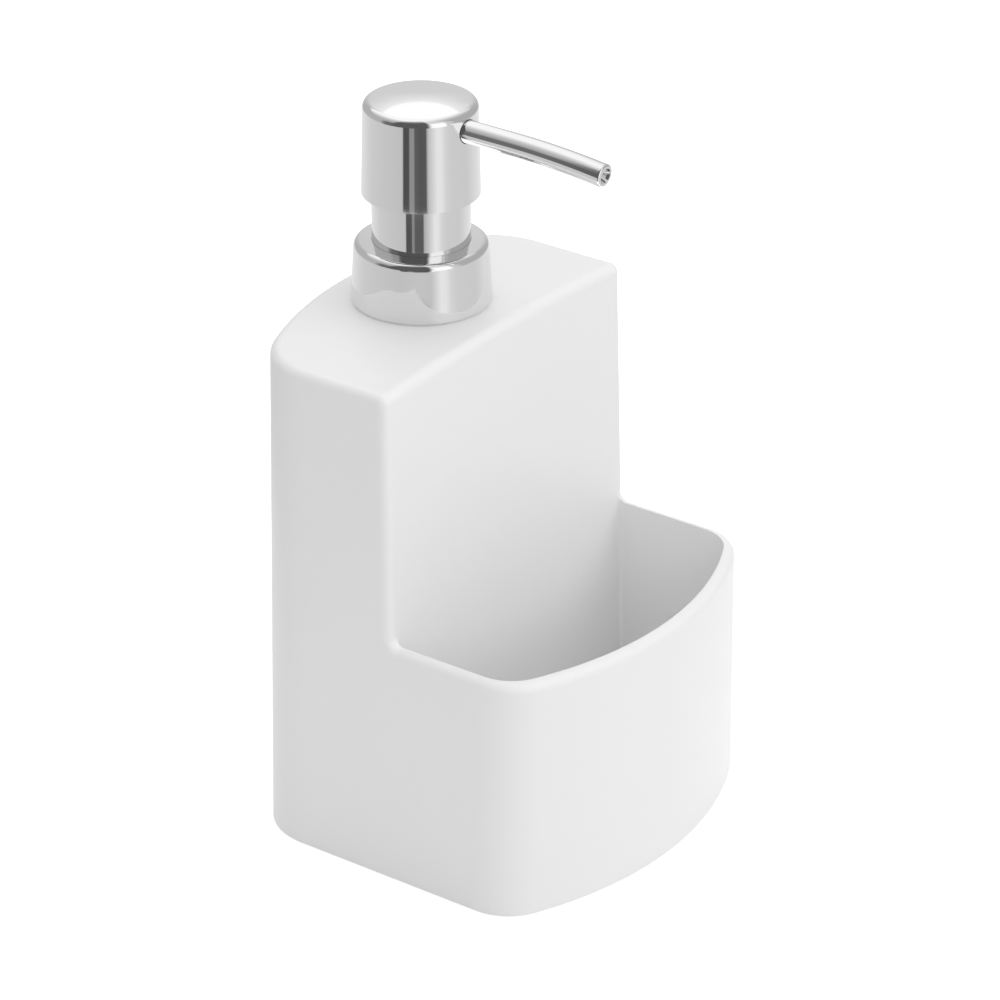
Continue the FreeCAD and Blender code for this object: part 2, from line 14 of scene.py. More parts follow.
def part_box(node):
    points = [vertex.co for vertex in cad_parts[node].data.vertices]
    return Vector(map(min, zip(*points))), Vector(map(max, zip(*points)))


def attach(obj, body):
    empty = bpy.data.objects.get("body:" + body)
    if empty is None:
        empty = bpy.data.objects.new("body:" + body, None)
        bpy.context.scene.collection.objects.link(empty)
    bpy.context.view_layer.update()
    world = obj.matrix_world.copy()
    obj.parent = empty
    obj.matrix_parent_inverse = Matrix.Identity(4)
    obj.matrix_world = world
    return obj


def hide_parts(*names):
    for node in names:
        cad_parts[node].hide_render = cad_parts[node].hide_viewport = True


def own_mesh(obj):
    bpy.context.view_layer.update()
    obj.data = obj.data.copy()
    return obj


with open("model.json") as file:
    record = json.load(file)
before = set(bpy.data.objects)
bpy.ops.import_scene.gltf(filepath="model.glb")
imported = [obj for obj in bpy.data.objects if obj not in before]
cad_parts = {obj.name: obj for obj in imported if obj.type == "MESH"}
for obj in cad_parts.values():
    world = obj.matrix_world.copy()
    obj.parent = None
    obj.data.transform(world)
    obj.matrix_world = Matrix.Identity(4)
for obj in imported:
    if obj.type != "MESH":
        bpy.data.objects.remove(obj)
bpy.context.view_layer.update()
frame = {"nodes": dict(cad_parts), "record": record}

log = logging.getLogger("soap_pump_caddy")

MM = 0.001
PUMP_AXIS_Y = 25.15 * MM
VIEW_AZIMUTH_DEG = -54.23
CHROME_REFLECTANCE = 0.82
DISPLAY_FOOT = 0.055
DISPLAY_POWER = 2.4
MERGE_DISTANCE = 1e-7
SHORTEST_EDGE = 1e-8
GLOSS_NOISE_RATIO = 2.7


class Slot(Enum):
    """Material slots of the part."""

    WHITE = "white_moulding"
    RUBBER = "foot_rubber"
    FOAM = "gasket_foam"
    NATURAL = "natural_plastic"
    CLEAR = "clear_tube"
    CAP = "cap_plastic"
    SEAL = "seal_plastic"
    SPRING = "spring_steel"
    BALL = "ball_steel"
    CHROME = "chrome_plate"


def new_object(name: str, mesh: bpy.types.Mesh) -> bpy.types.Object:
    """Puts a mesh into the scene.

    Args:
        name: Name of the piece.
        mesh: Its finished mesh.

    Returns:
        The new object, at the origin.
    """
    piece = bpy.data.objects.new(name, mesh)
    bpy.context.scene.collection.objects.link(piece)
    return piece


def mesh_piece(name: str, points: np.ndarray, faces: np.ndarray,
               sharp_deg: float = 32.0) -> bpy.types.Object:
    """Makes a smooth-shaded piece from whole arrays.

    Args:
        name: Name of the piece.
        points: Array of shape (n, 3), in metres.
        faces: Array of shape (m, 4) with the corners of each face.
        sharp_deg: Edges that turn more than this stay crisp.

    Returns:
        The new object. Points in one place are merged, so a ring that shrinks to a point closes its end,
        and the faces are turned outwards.
    """
    mesh = bpy.data.meshes.new(name)
    mesh.from_pydata(points.tolist(), [], faces.tolist())
    work = bmesh.new()
    work.from_mesh(mesh)
    bmesh.ops.remove_doubles(work, verts=work.verts, dist=MERGE_DISTANCE)
    bmesh.ops.dissolve_degenerate(work, edges=work.edges, dist=SHORTEST_EDGE)
    bmesh.ops.recalc_face_normals(work, faces=work.faces)
    work.to_mesh(mesh)
    work.free()
    mesh.shade_smooth()
    mesh.set_sharp_from_angle(angle=math.radians(sharp_deg))
    return new_object(name, mesh)


def grid_faces(rows: int, columns: int) -> np.ndarray:
    """Faces of a grid of points whose columns run all the way round.

    Args:
        rows: Number of rows of points.
        columns: Number of points in a row.

    Returns:
        Array of shape (m, 4). The point in row i and column j has the number i * columns + j.
    """
    low = np.arange(rows - 1)[:, None]
    high = low + 1
    here = np.arange(columns)[None, :]
    ahead = (here + 1) % columns
    corners = (low * columns + here, low * columns + ahead, high * columns + ahead, high * columns + here)
    return np.stack(corners, axis=-1).reshape(-1, 4)


def finished(piece: bpy.types.Object, material: bpy.types.Material, body: str,
             stands_for: tuple[str, ...] = ()) -> bpy.types.Object:
    """Dresses a fine piece and lets it ride on its body.

    Args:
        piece: The piece.
        material: Its finish.
        body: The body that carries it.
        stands_for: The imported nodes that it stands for.

    Returns:
        The same piece.
    """
    piece.data.materials.clear()
    piece.data.materials.append(material)
    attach(piece, body)
    if stands_for:
        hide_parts(*stands_for)
    log.info("made %s on %s", piece.name, body)
    return piece


class NodeTree:
    """Shorthand for wiring shader nodes."""

    def __init__(self, tree: bpy.types.NodeTree) -> None:
        """Keeps the tree.

        Args:
            tree: The node tree to add to.
        """
        self.tree = tree

    def add(self, kind: str, **values: object) -> bpy.types.Node:
        """Adds a node.

        Args:
            kind: Blender's name of the node type.
            **values: Its settings, or the values of its sockets, with underscores for spaces.

        Returns:
            The new node.
        """
        node = self.tree.nodes.new(kind)
        for key, value in values.items():
            if hasattr(node, key):
                setattr(node, key, value)
            else:
                node.inputs[key.replace("_", " ")].default_value = value
        return node

    def join(self, source: bpy.types.NodeSocket, target: bpy.types.NodeSocket) -> None:
        """Links two sockets.

        Args:
            source: The output socket.
            target: The input socket.
        """
        self.tree.links.new(source, target)

    def math(self, operation: str, first: object, second: object = 0.0) -> bpy.types.NodeSocket:
        """Adds a math node.

        Args:
            operation: Name of the operation, such as ADD.
            first: A socket or a number.
            second: A socket or a number.

        Returns:
            The node's output socket.
        """
        node = self.tree.nodes.new("ShaderNodeMath")
        node.operation = operation
        for socket, value in zip(node.inputs, (first, second)):
            if isinstance(value, bpy.types.NodeSocket):
                self.join(value, socket)
            else:
                socket.default_value = value
        return node.outputs[0]

    def seen_directly(self) -> bpy.types.NodeSocket:
        """Adds nodes that tell rays from the camera, mirrors and glass from all others.

        Returns:
            Their output socket, which gives 1 or 0.
        """
        path = self.add("ShaderNodeLightPath")
        seen = self.math("MAXIMUM", path.outputs["Is Camera Ray"], path.outputs["Is Glossy Ray"])
        return self.math("MAXIMUM", seen, path.outputs["Is Transmission Ray"])


def blank_material(name: str) -> tuple[bpy.types.Material, NodeTree]:
    """Makes a material without nodes.

    Args:
        name: Name of the material.

    Returns:
        The material and its node tree.
    """
    material = bpy.data.materials.new(name)
    material.use_nodes = True
    material.node_tree.nodes.clear()
    return material, NodeTree(material.node_tree)


def new_group(name: str, inputs: dict[str, tuple[str, object]],
              outputs: dict[str, str]) -> bpy.types.NodeTree:
    """Starts a shader node group.

    Args:
        name: Name of the group.
        inputs: For each input, its socket type and default value (None for a vector).
        outputs: For each output, its socket type.

    Returns:
        The empty group with its sockets.
    """
    group = bpy.data.node_groups.new(name, "ShaderNodeTree")
    for label, (kind, value) in inputs.items():
        socket = group.interface.new_socket(label, in_out="INPUT", socket_type=kind)
        if value is not None:
            socket.default_value = value
    for label, kind in outputs.items():
        group.interface.new_socket(label, in_out="OUTPUT", socket_type=kind)
    return group


def moulded_surface_group() -> bpy.types.NodeTree:
    """Group for a moulded surface: slow drift of tone and gloss, and the fine grain of the mould.

    Returns:
        The group. Colour is the base colour times 1 plus the tone drift times centred noise. Roughness
        is the base value plus the gloss drift times centred noise, which is finer by the gloss noise
        ratio. Height is fine noise from 0 to 1.
    """
    scalar = "NodeSocketFloat"
    group = new_group(
        "moulded_surface",
        {
            "Vector": ("NodeSocketVector", None),
            "Base Color": ("NodeSocketColor", (0.8, 0.8, 0.8, 1.0)),
            "Tone Drift": (scalar, 0.02),
            "Drift Scale": (scalar, 30.0),
            "Base Roughness": (scalar, 0.4),
            "Gloss Drift": (scalar, 0.05),
            "Grain Scale": (scalar, 4000.0),
        },
        {"Color": "NodeSocketColor", "Roughness": scalar, "Height": scalar},
    )
    net = NodeTree(group)
    given = net.add("NodeGroupInput")
    result = net.add("NodeGroupOutput")
    drift = net.add("ShaderNodeTexNoise", Detail=3.0)
    net.join(given.outputs["Vector"], drift.inputs["Vector"])
    net.join(given.outputs["Drift Scale"], drift.inputs["Scale"])
    centred = net.math("SUBTRACT", drift.outputs["Fac"], 0.5)
    factor = net.math("ADD", net.math("MULTIPLY", centred, given.outputs["Tone Drift"]), 1.0)
    tinted = net.add("ShaderNodeVectorMath", operation="SCALE")
    net.join(given.outputs["Base Color"], tinted.inputs[0])
    net.join(factor, tinted.inputs["Scale"])
    net.join(tinted.outputs[0], result.inputs["Color"])
    gloss = net.add("ShaderNodeTexNoise", Detail=4.0, Roughness=0.6)
    net.join(given.outputs["Vector"], gloss.inputs["Vector"])
    finer = net.math("MULTIPLY", given.outputs["Drift Scale"], GLOSS_NOISE_RATIO)
    net.join(finer, gloss.inputs["Scale"])
    centred = net.math("SUBTRACT", gloss.outputs["Fac"], 0.5)
    shift = net.math("MULTIPLY", centred, given.outputs["Gloss Drift"])
    net.join(net.math("ADD", given.outputs["Base Roughness"], shift), result.inputs["Roughness"])
    grain = net.add("ShaderNodeTexNoise", Detail=2.0)
    net.join(given.outputs["Vector"], grain.inputs["Vector"])
    net.join(given.outputs["Grain Scale"], grain.inputs["Scale"])
    net.join(grain.outputs["Fac"], result.inputs["Height"])
    return group


@dataclass(frozen=True)
class Finish:
    """A finish of one material slot: what its surface is like and how it varies."""

    slot: Slot
    colour: tuple[float, float, float]
    roughness: float
    tone_drift: float = 0.02
    drift_scale: float = 30.0
    gloss_drift: float = 0.06
    grain_scale: float = 4000.0
    grain_depth: float = 4e-6
    grain_strength: float = 0.3
    metallic: float = 0.0
    refraction: float = 1.49
    translucency: float = 0.0

    def build(self, surface: bpy.types.NodeTree) -> bpy.types.Material:
        """Makes the material.

        Args:
            surface: The moulded surface group.

        Returns:
            The finished material, named after its slot.
        """
        material = bpy.data.materials.new(self.slot.value)
        material.use_nodes = True
        net = NodeTree(material.node_tree)
        shader = material.node_tree.nodes["Principled BSDF"]
        place = net.add("ShaderNodeTexCoord")
        group = net.add("ShaderNodeGroup", node_tree=surface, Base_Color=(*self.colour, 1.0),
                        Tone_Drift=self.tone_drift, Drift_Scale=self.drift_scale,
                        Base_Roughness=self.roughness, Gloss_Drift=self.gloss_drift,
                        Grain_Scale=self.grain_scale)
        net.join(place.outputs["Object"], group.inputs["Vector"])
        net.join(group.outputs["Color"], shader.inputs["Base Color"])
        net.join(group.outputs["Roughness"], shader.inputs["Roughness"])
        bump = net.add("ShaderNodeBump", Strength=self.grain_strength, Distance=self.grain_depth)
        net.join(group.outputs["Height"], bump.inputs["Height"])
        net.join(bump.outputs["Normal"], shader.inputs["Normal"])
        shader.inputs["Metallic"].default_value = self.metallic
        shader.inputs["IOR"].default_value = self.refraction
        shader.inputs["Transmission Weight"].default_value = self.translucency
        return material


FINISHES = (
    Finish(Slot.WHITE, (0.905, 0.905, 0.908), 0.42, grain_scale=2500.0, grain_depth=6e-6),
    Finish(Slot.RUBBER, (0.62, 0.62, 0.64), 0.75),
    Finish(Slot.FOAM, (0.85, 0.85, 0.84), 0.85, grain_scale=900.0, grain_depth=3e-5),
    Finish(Slot.NATURAL, (0.86, 0.87, 0.86), 0.35, translucency=0.25),
    Finish(Slot.CLEAR, (0.82, 0.84, 0.85), 0.25, translucency=0.5),
    Finish(Slot.CAP, (0.84, 0.84, 0.85), 0.4),
    Finish(Slot.SEAL, (0.80, 0.82, 0.84), 0.45),
    Finish(Slot.SPRING, (0.62, 0.62, 0.63), 0.3, metallic=1.0),
    Finish(Slot.BALL, (0.7, 0.7, 0.72), 0.12, metallic=1.0),
    Finish(Slot.CHROME, (CHROME_REFLECTANCE,) * 3, 0.045, tone_drift=0.01, gloss_drift=0.02,
           grain_scale=60.0, grain_strength=0.1, metallic=1.0),
)


def direction(azimuth_deg: float, elevation_deg: float) -> Vector:
    """Unit vector from the object towards a lamp or the camera.

    Args:
        azimuth_deg: Azimuth from the front, positive to the right, in degrees.
        elevation_deg: Elevation, in degrees.

    Returns:
        The vector (cos e sin a, -cos e cos a, sin e) for the azimuth a and the elevation e.
    """
    azimuth = math.radians(azimuth_deg)
    elevation = math.radians(elevation_deg)
    level = math.cos(elevation)
    return Vector((math.sin(azimuth) * level, -math.cos(azimuth) * level, math.sin(elevation)))


@dataclass
class Camera:
    """Camera at the photograph's viewing angle, with a long lens."""

    focal_pixels: float = 4469.2
    image_pixels: float = 1000.0
    sensor: float = 36.0
    azimuth_deg: float = VIEW_AZIMUTH_DEG
    elevation_deg: float = 27.07
    roll_deg: float = 0.13
    distance: float = 1083.3 * MM
    target: tuple[float, float, float] = (0.0, 3.08 * MM, 81.05 * MM)
    sideways: float = 0.98 * MM
    nearest: float = 0.05
    farthest: float = 60.0

    def build(self) -> bpy.types.Object:
        """Makes the camera and sets it as the scene's.

        Returns:
            The camera object.
        """
        azimuth = math.radians(self.azimuth_deg)
        roll = math.radians(self.roll_deg)
        back = direction(self.azimuth_deg, self.elevation_deg)
        right = Vector((math.cos(azimuth), math.sin(azimuth), 0.0))
        above = back.cross(right)
        rolled_right = right * math.cos(roll) + above * math.sin(roll)
        rolled_above = above * math.cos(roll) - right * math.sin(roll)
        lens = bpy.data.cameras.new("camera")
        lens.sensor_width = self.sensor
        lens.lens = self.focal_pixels / self.image_pixels * self.sensor
        lens.clip_start = self.nearest
        lens.clip_end = self.farthest
        camera = bpy.data.objects.new("camera", lens)
        bpy.context.scene.collection.objects.link(camera)
        turn = Matrix((rolled_right, rolled_above, back)).transposed()
        place = Vector(self.target) + right * self.sideways + back * self.distance
        camera.matrix_world = Matrix.Translation(place) @ turn.to_4x4()
        bpy.context.scene.camera = camera
        return camera


def level_for(shade: np.ndarray | float) -> np.ndarray:
    """Brightness of a surface that the chrome shows as a given shade on the screen.

    The shade s, from 0 to 1, is turned into light by the display's curve ((s + foot) / (1 + foot)) to the
    display's power, and divided by what the chrome sends back.

    Args:
        shade: Shade on the screen, from 0 to 255.

    Returns:
        Emission strength.
    """
    light = ((np.asarray(shade) / 255 + DISPLAY_FOOT) / (1 + DISPLAY_FOOT)) ** DISPLAY_POWER
    return light / CHROME_REFLECTANCE


def emitting_stage(name: str, points: np.ndarray, faces: list, shades: np.ndarray) -> bpy.types.Object:
    """Makes a stage piece that only mirror reflections see.

    Args:
        name: Name of the piece.
        points: Array of shape (n, 3), in metres.
        faces: For each face, the numbers of its points.
        shades: For each point, the shade that the chrome shows there.

    Returns:
        The piece.
    """
    mesh = bpy.data.meshes.new(name)
    mesh.from_pydata(points.tolist(), [], faces)
    mesh.attributes.new("level", "FLOAT", "POINT")
    mesh.attributes["level"].data.foreach_set("value", level_for(shades))
    material, net = blank_material(name)
    level = net.add("ShaderNodeAttribute", attribute_name="level")
    glow = net.add("ShaderNodeEmission")
    net.join(level.outputs["Fac"], glow.inputs["Strength"])
    output = net.add("ShaderNodeOutputMaterial")
    net.join(glow.outputs[0], output.inputs["Surface"])
    mesh.materials.append(material)
    piece = new_object(name, mesh)
    piece.visible_camera = False
    piece.visible_diffuse = False
    piece.visible_shadow = False
    piece.visible_transmission = False
    return piece


def ramp(distance: np.ndarray, softness: float) -> np.ndarray:
    """Climbs from 0 at a distance of 0 to 1 at the softness.

    Args:
        distance: Distances inwards from an edge.
        softness: Width of the soft edge.

    Returns:
        Array of the same shape, from 0 to 1.
    """
    return np.clip(distance / softness, 0.0, 1.0)


@dataclass(frozen=True)
class Strip:
    """A low strip of the mirror room's wall, between two heights.

    Its shades go by azimuth from the camera's side, positive to the right.
    """

    low: float
    high: float
    shades: tuple[tuple[float, float], ...]


# Shades of the low wall by azimuth: pale panels left and right, and a dark flag between them.
LEFT_SHADES = (
    (-180.0, 222.0), (-136.0, 214.0), (-120.0, 208.0), (-104.0, 201.0), (-72.0, 196.0), (-36.0, 190.0),
)
LOW_FLAG = (
    (-34.5, 188.0), (-32.0, 78.0), (-21.0, 80.0), (-19.0, 132.0), (-14.5, 132.0), (-13.0, 90.0),
    (5.0, 88.0), (7.5, 170.0),
)
HIGH_FLAG = (
    (-33.5, 186.0), (-31.0, 76.0), (-21.5, 78.0), (-19.5, 140.0), (-12.0, 140.0), (-10.0, 92.0),
    (0.0, 84.0), (10.5, 86.0), (12.5, 160.0),
)
RIGHT_SHADES = (
    (16.0, 192.0), (24.0, 211.0), (32.0, 228.0), (40.0, 225.0), (48.0, 210.0), (60.0, 202.0),
    (96.0, 200.0), (120.0, 213.0), (160.0, 226.0), (180.0, 228.0),
)


@dataclass(frozen=True)
class Panel:
    """A soft-edged panel of the mirror room.

    Its outer edges go by azimuth from the camera's side, and its top by elevation.
    """

    left: float
    right: float
    shade: float
    top: float = 90.0
    soft_left: float = 8.0
    soft_right: float = 8.0
    soft_top: float = 14.0

    def share(self, offset: np.ndarray, rise: np.ndarray) -> np.ndarray:
        """How much of the panel shows in each direction.

        It is the product of three ramps from 0 to 1: inwards from the left edge, inwards from the right
        edge, and downwards to the top.

        Args:
            offset: Azimuths from the camera's side, in degrees.
            rise: Elevations, in degrees.

        Returns:
            Array with a row for each elevation.
        """
        inside = (offset - self.left) % 360.0
        across = ramp(inside, self.soft_left) * ramp(self.right - self.left - inside, self.soft_right)
        upward = ramp(self.top + self.soft_top - rise, self.soft_top)
        return upward[:, None] * across[None, :]


@dataclass(frozen=True)
class OverheadLight:
    """The large softbox overhead: a lopsided oval, as seen straight up, whose edges fade out."""

    ahead: float = -0.34
    aside: float = -0.19
    reach_front: float = 0.955
    reach_back: float = 3.0
    reach_left: float = 0.706
    reach_right: float = 0.911
    softness: float = 0.73
    lowest_deg: float = 30.0
    foot_deg: float = 4.0
    shade: float = 247.0

    def share(self, offset: np.ndarray, rise: np.ndarray) -> np.ndarray:
        """How much of the softbox shows in each direction.

        A direction's parts ahead and aside are cos(elevation) times the cosine and the sine of its azimuth.
        Its distance from the middle, each part over the reach on its side, is 1 at the rim. The share is a
        ramp inwards from the rim, times a ramp upwards from the lowest elevation.

        Args:
            offset: Azimuths from the camera's side, in degrees.
            rise: Elevations, in degrees.

        Returns:
            Array with a row for each elevation.
        """
        level = np.cos(np.radians(rise))[:, None]
        ahead = level * np.cos(np.radians(offset)) - self.ahead
        aside = level * np.sin(np.radians(offset)) - self.aside
        away = np.hypot(ahead / np.where(ahead > 0.0, self.reach_front, self.reach_back),
                        aside / np.where(aside > 0.0, self.reach_right, self.reach_left))
        return ramp(rise - self.lowest_deg, self.foot_deg)[:, None] * ramp(1.0 - away, self.softness)


@dataclass(frozen=True)
class RoundSoftbox:
    """The round softbox behind the pump that the head's flat top shows, and the glow round it."""

    offset_deg: float = -178.9
    rise_deg: float = 27.95
    half_deg: float = 4.5
    shade: float = 253.0
    glow_deg: float = 2.8
    glow_shade: float = 234.0
    corners: int = 96

    def glow_share(self, offset: np.ndarray, rise: np.ndarray) -> np.ndarray:
        """How much of the glow shows in each direction.

        The distance from the softbox's middle is the root of the square of the difference of azimuths times
        cos(elevation) plus the square of the difference of elevations. The share falls from 1 at the rim to
        0 over the glow's reach.

        Args:
            offset: Azimuths from the camera's side, in degrees.
            rise: Elevations, in degrees.

        Returns:
            Array with a row for each elevation.
        """
        aside = (offset - self.offset_deg + 180.0) % 360.0 - 180.0
        level = np.cos(np.radians(rise))[:, None]
        from_rim = np.hypot(aside * level, (rise - self.rise_deg)[:, None]) - self.half_deg
        return ramp(self.glow_deg - from_rim, self.glow_deg)

    def build(self, centre: tuple[float, float, float], start_deg: float, away: float) -> bpy.types.Object:
        """Makes the softbox as a flat disc.

        Its rim lies at the elevation rise + half sin t, and at the azimuth offset + half cos t over the
        cosine of that elevation.

        Args:
            centre: The room's centre.
            start_deg: Azimuth of the camera's side, in degrees.
            away: Distance from the centre.

        Returns:
            The softbox.
        """
        turn = np.linspace(0.0, 2 * math.pi, self.corners, endpoint=False)
        rise = np.radians(self.rise_deg + self.half_deg * np.sin(turn))
        aside = np.radians(self.half_deg * np.cos(turn)) / np.cos(rise)
        angle = math.radians(start_deg + self.offset_deg) + aside
        level = np.cos(rise)
        outward = np.stack([level * np.sin(angle), -level * np.cos(angle), np.sin(rise)], axis=1)
        points = np.array(centre) + away * outward
        return emitting_stage("round_softbox", points, [tuple(range(self.corners))],
                              np.full(self.corners, self.shade))


@dataclass
class MirrorRoom:
    """What the chrome shows: pale strips and panels, dark flags on the camera's side and soft lights."""

    centre: tuple[float, float, float] = (0.0, PUMP_AXIS_Y, 178.0 * MM)
    radius: float = 200.0 * MM
    wall_top: float = 262.0 * MM
    highest_deg: float = 89.9
    start_deg: float = VIEW_AZIMUTH_DEG
    columns: int = 720
    wall_rows: int = 16
    ceiling_rows: int = 68
    strips: tuple[Strip, ...] = (
        Strip(0.0, 75.5 * MM, LEFT_SHADES + LOW_FLAG + RIGHT_SHADES),
        Strip(75.5 * MM, 86.3 * MM, LEFT_SHADES + ((0.0, 195.0),) + RIGHT_SHADES),
        Strip(86.3 * MM, 130.0 * MM, LEFT_SHADES + HIGH_FLAG + RIGHT_SHADES),
    )
    panels: tuple[Panel, ...] = (
        Panel(-173.0, -40.0, 174.0, soft_left=26.0),
        Panel(-80.0, -38.0, 104.0, top=16.0, soft_left=13.0, soft_top=16.0),
        Panel(-57.5, 20.5, 86.0, soft_left=9.5),
        Panel(50.0, 69.0, 200.0, soft_left=4.0),
        Panel(61.0, 172.0, 170.0, soft_right=30.0),
        Panel(16.0, 53.0, 254.0, top=33.0, soft_right=5.0, soft_top=20.0),
    )
    side_shade: float = 204.0
    overhead: OverheadLight = OverheadLight()
    softbox: RoundSoftbox = RoundSoftbox()
    softbox_depth: float = 0.99

    def panel_shades(self, offset: np.ndarray, rise: np.ndarray) -> np.ndarray:
        """Shades of the upper wall and the ceiling.

        The panels, the light overhead and the round softbox's glow are blended into the side shade one
        after another, as shade times (1 - share) plus the light's shade times its share. The glow only
        brightens.

        Args:
            offset: Azimuths from the camera's side, in degrees.
            rise: Elevations, in degrees.

        Returns:
            Array with a row for each elevation.
        """
        shades = np.full((len(rise), len(offset)), self.side_shade)
        for light in (*self.panels, self.overhead):
            share = light.share(offset, rise)
            shades = shades * (1 - share) + light.shade * share
        share = self.softbox.glow_share(offset, rise)
        return shades * (1 - share) + np.maximum(self.softbox.glow_shade, shades) * share

    def build(self) -> None:
        """Makes the wall with its strips, the ceiling over it and the round softbox."""
        _, axis_y, centre_height = self.centre
        offset = np.linspace(-180.0, 180.0, self.columns, endpoint=False)
        angle = np.radians(self.start_deg + offset)
        strip_shades = []
        strip_heights = []
        for strip in self.strips:
            stops, values = np.array(sorted(strip.shades)).T
            strip_shades += [np.interp(offset, stops, values)] * 2
            strip_heights += [strip.low, strip.high]
        upper = np.linspace(self.strips[-1].high, self.wall_top, self.wall_rows)
        upper_rise = np.degrees(np.arctan2(upper - centre_height, self.radius))
        rise = np.linspace(upper_rise[-1], self.highest_deg, self.ceiling_rows)
        reach = self.radius / math.cos(math.radians(upper_rise[-1]))
        wall_radii = np.full(len(strip_heights) + self.wall_rows, self.radius)
        radii = np.concatenate([wall_radii, reach * np.cos(np.radians(rise))])[:, None]
        heights = np.concatenate([strip_heights, upper, centre_height + reach * np.sin(np.radians(rise))])
        panel_shades = self.panel_shades(offset, np.concatenate([upper_rise, rise]))
        shades = np.concatenate([strip_shades, panel_shades])
        points = np.stack([radii * np.sin(angle), axis_y - radii * np.cos(angle),
                           np.broadcast_to(heights[:, None], shades.shape)], axis=-1)
        faces = grid_faces(len(radii), self.columns).tolist()
        emitting_stage("mirror_room", points.reshape(-1, 3), faces, shades.reshape(-1))
        self.softbox.build(self.centre, self.start_deg, self.softbox_depth * reach)


@dataclass(frozen=True)
class Lamp:
    """A soft area lamp that faces a point of the object."""

    name: str
    azimuth_deg: float
    elevation_deg: float
    distance: float
    side: float
    watts: float
    aim: tuple[float, float, float] = (0.0, 0.0, 0.08)

    def build(self) -> bpy.types.Object:
        """Makes the lamp.

        Returns:
            The lamp object, hidden from the camera and from reflections.
        """
        back = direction(self.azimuth_deg, self.elevation_deg)
        light = bpy.data.lights.new(self.name, "AREA")
        light.shape = "SQUARE"
        light.size = self.side
        light.energy = self.watts
        lamp = bpy.data.objects.new(self.name, light)
        bpy.context.scene.collection.objects.link(lamp)
        lamp.location = Vector(self.aim) + back * self.distance
        lamp.rotation_euler = back.to_track_quat("Z", "Y").to_euler()
        lamp.visible_camera = False
        lamp.visible_glossy = False
        return lamp


@dataclass
class Studio:
    """Plain pale floor, white surroundings, soft lamps and the room that the chrome mirrors."""

    floor_reach: float = 8.0
    floor_drop: float = 0.1 * MM
    ambient: float = 0.521
    floor_glow: float = 0.78
    floor_colour: float = 0.75
    lamps: tuple[Lamp, ...] = (
        Lamp("lamp_top", 20.0, 80.0, 1.6, 1.4, 5.1),
        Lamp("lamp_front_right", 30.0, 35.0, 1.8, 1.2, 5.2),
        Lamp("lamp_front_left", -54.0, 30.0, 1.8, 1.2, 5.5),
        Lamp("lamp_front", 0.0, 12.0, 1.8, 1.2, 3.0),
        Lamp("lamp_back", 150.0, 45.0, 1.8, 1.2, 5.3),
    )

    def world(self) -> None:
        """Lights the object from all round, and shows plain white to the camera and to reflections."""
        world = bpy.data.worlds.new("surroundings")
        bpy.context.scene.world = world
        world.use_nodes = True
        world.node_tree.nodes.clear()
        net = NodeTree(world.node_tree)
        seen = net.seen_directly()
        spread = net.math("MULTIPLY", net.math("SUBTRACT", 1.0, seen), self.ambient)
        back = net.add("ShaderNodeBackground", Color=(1.0, 1.0, 1.0, 1.0))
        net.join(net.math("ADD", seen, spread), back.inputs["Strength"])
        output = net.add("ShaderNodeOutputWorld")
        net.join(back.outputs[0], output.inputs["Surface"])

    def floor(self) -> bpy.types.Object:
        """Makes the pale floor: plain diffuse, and brighter where the camera or a reflection sees it.

        Returns:
            The floor.
        """
        reach = self.floor_reach
        mesh = bpy.data.meshes.new("floor")
        level = -self.floor_drop
        mesh.from_pydata([(-reach, -reach, level), (reach, -reach, level), (reach, reach, level),
                          (-reach, reach, level)], [], [(0, 1, 2, 3)])
        material, net = blank_material("floor")
        pale = self.floor_colour
        cloth = net.add("ShaderNodeBsdfDiffuse", Color=(pale, pale, pale, 1.0))
        glow = net.add("ShaderNodeEmission", Color=(1.0, 1.0, 1.0, 1.0))
        net.join(net.math("MULTIPLY", net.seen_directly(), self.floor_glow), glow.inputs["Strength"])
        both = net.add("ShaderNodeAddShader")
        net.join(cloth.outputs[0], both.inputs[0])
        net.join(glow.outputs[0], both.inputs[1])
        output = net.add("ShaderNodeOutputMaterial")
        net.join(both.outputs[0], output.inputs["Surface"])
        mesh.materials.append(material)
        floor = new_object("floor", mesh)
        return floor

    def build(self) -> None:
        """Sets up the whole studio."""
        scene = bpy.context.scene
        scene.view_settings.view_transform = "Standard"
        self.world()
        self.floor()
        for lamp in self.lamps:
            lamp.build()
        MirrorRoom().build()


class SubAssembly:
    """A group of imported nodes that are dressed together, and the fine pieces that go with them.

    Only the body casts the lamps' shadows, because in light as soft as this the slim pump's don't show.
    """

    nodes: tuple[str, ...] = ()
    casts_shadow: bool = False

    def dress(self, materials: dict[Slot, bpy.types.Material]) -> None:
        """Gives each node the finish of its slot, and says whether it casts shadows.

        Args:
            materials: The finishes by slot.
        """
        subparts = frame["record"]["subparts"]
        slots = {subpart["node"]: Slot(subpart["material_slot"]) for subpart in subparts}
        for name in self.nodes:
            node = frame["nodes"][name]
            node.data.materials.clear()
            node.data.materials.append(materials[slots[name]])
            node.visible_shadow = self.casts_shadow

    def details(self, materials: dict[Slot, bpy.types.Material]) -> list[bpy.types.Object]:
        """Makes the fine pieces.

        Args:
            materials: The finishes by slot.

        Returns:
            The new pieces.
        """
        return []

    def build(self, materials: dict[Slot, bpy.types.Material]) -> None:
        """Dresses the nodes and adds the fine pieces.

        Args:
            materials: The finishes by slot.
        """
        self.dress(materials)
        pieces = self.details(materials)
        log.info("%s: dressed %d nodes, made %d fine pieces", type(self).__name__, len(self.nodes),
                 len(pieces))


